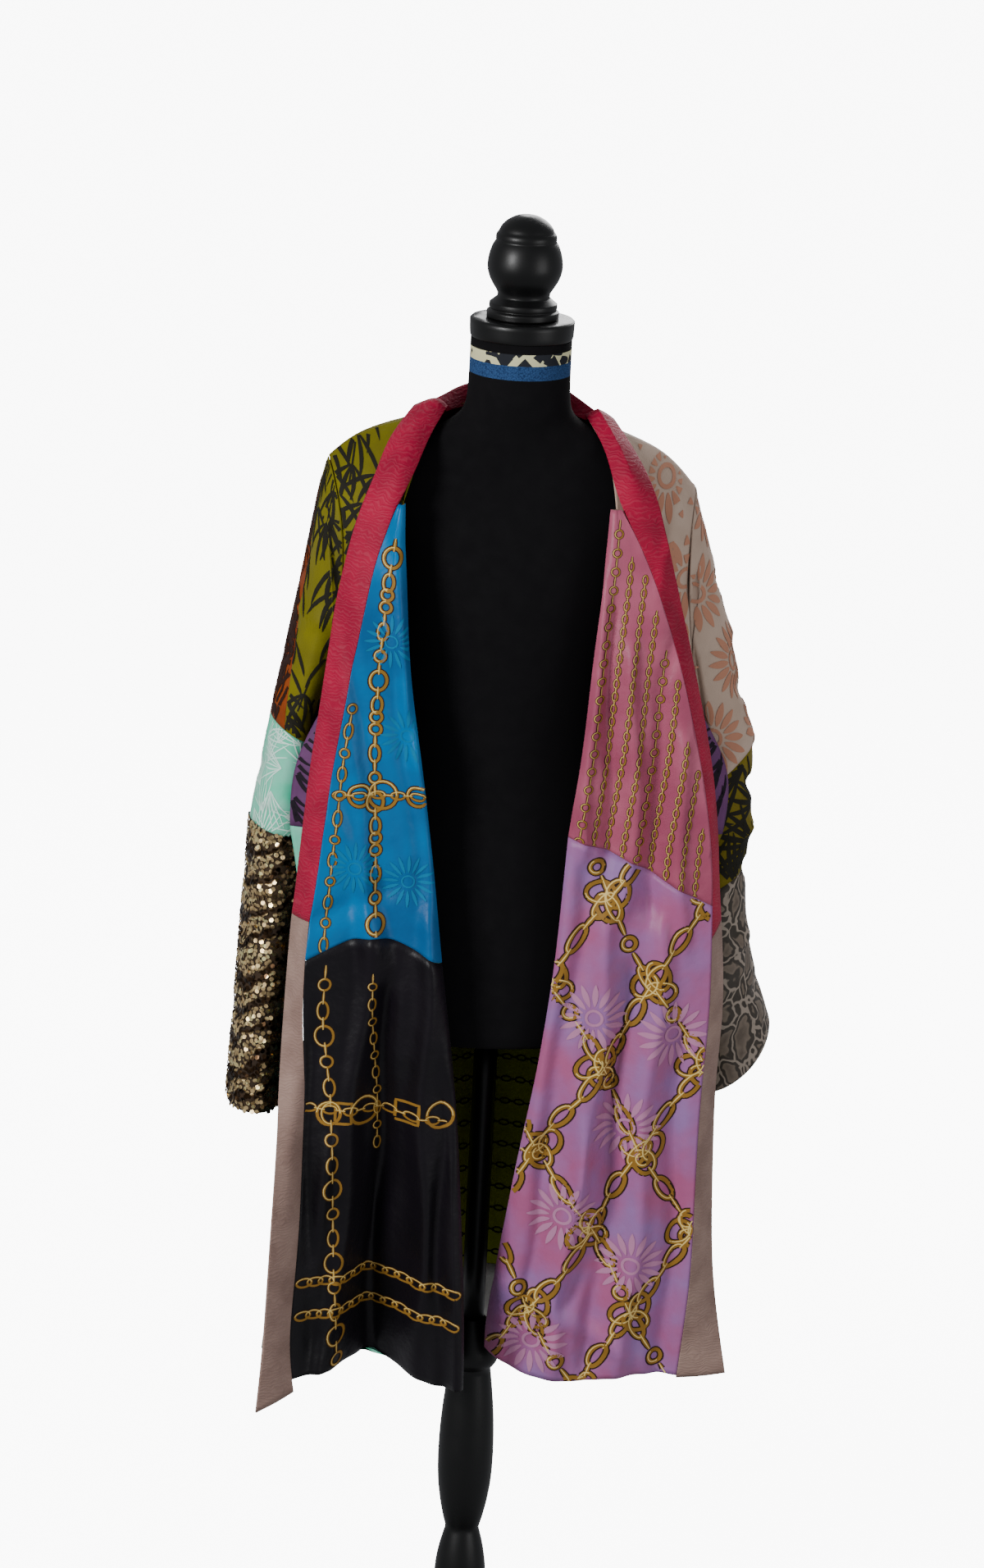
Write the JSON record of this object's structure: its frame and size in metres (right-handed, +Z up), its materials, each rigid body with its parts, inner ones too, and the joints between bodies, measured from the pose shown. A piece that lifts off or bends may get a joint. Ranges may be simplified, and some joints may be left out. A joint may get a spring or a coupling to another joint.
{
  "type": "sequin kimono on a limbless dress form with a turned stand",
  "caption": "Open patchwork kimono with turned-back fronts, long sleeves and a sequin cuff section, worn by a limbless dress form on a turned stand.",
  "frame": {"origin": "centre of the round foot's flat underside, on the floor", "axes": "+Z up along the stand, the open front faces -Y, the wearer's right is -X"},
  "size_m": [0.6189, 0.3294, 1.6775],
  "materials": {
    "olive_leaf_print": "printed silk",
    "yellow_leaf_print": "printed silk",
    "purple_leaf_print": "printed silk",
    "mint_print": "printed silk",
    "blue_lining": "satin",
    "black_lining": "satin",
    "cream_daisy_print": "printed silk",
    "pink_lining": "satin",
    "lilac_lining": "satin",
    "orange_leaf_print": "printed silk",
    "back_lining": "satin",
    "hem_facing": "satin",
    "taupe_brocade": "brocade",
    "red_brocade": "moire brocade",
    "gold_sequins": "sequins sewn on net",
    "animal_print": "printed silk",
    "form_cover": "jersey and printed cover",
    "black_paint": "satin black paint"
  },
  "bodies": {
    "root": {"right_front_shell_olive": "olive_leaf_print", "right_front_shell_purple": "purple_leaf_print", "right_front_shell_mint": "mint_print", "right_front_lining_blue": "blue_lining", "right_front_lining_black": "black_lining", "left_front_shell_cream": "cream_daisy_print", "left_front_shell_purple": "purple_leaf_print", "left_front_shell_olive": "yellow_leaf_print", "left_front_lining_pink": "pink_lining", "left_front_lining_lilac": "lilac_lining", "back_shell_upper": "orange_leaf_print", "back_shell_lower": "olive_leaf_print", "back_lining_olive": "back_lining", "back_lining_hem": "hem_facing", "right_band_taupe": "taupe_brocade", "right_band_red": "red_brocade", "neck_band_red": "red_brocade", "left_band_red": "red_brocade", "left_band_taupe": "taupe_brocade", "right_sleeve_olive": "olive_leaf_print", "right_sleeve_orange": "orange_leaf_print", "right_sleeve_mint": "mint_print", "right_sleeve_sequin": "gold_sequins", "left_sleeve_cream": "cream_daisy_print", "left_sleeve_olive": "yellow_leaf_print", "left_sleeve_leopard": "animal_print", "form_torso": "form_cover", "neck_cap": "black_paint", "finial": "black_paint", "pole": "black_paint", "turned_column": "black_paint", "round_foot": "black_paint"}
  },
  "joints": []
}
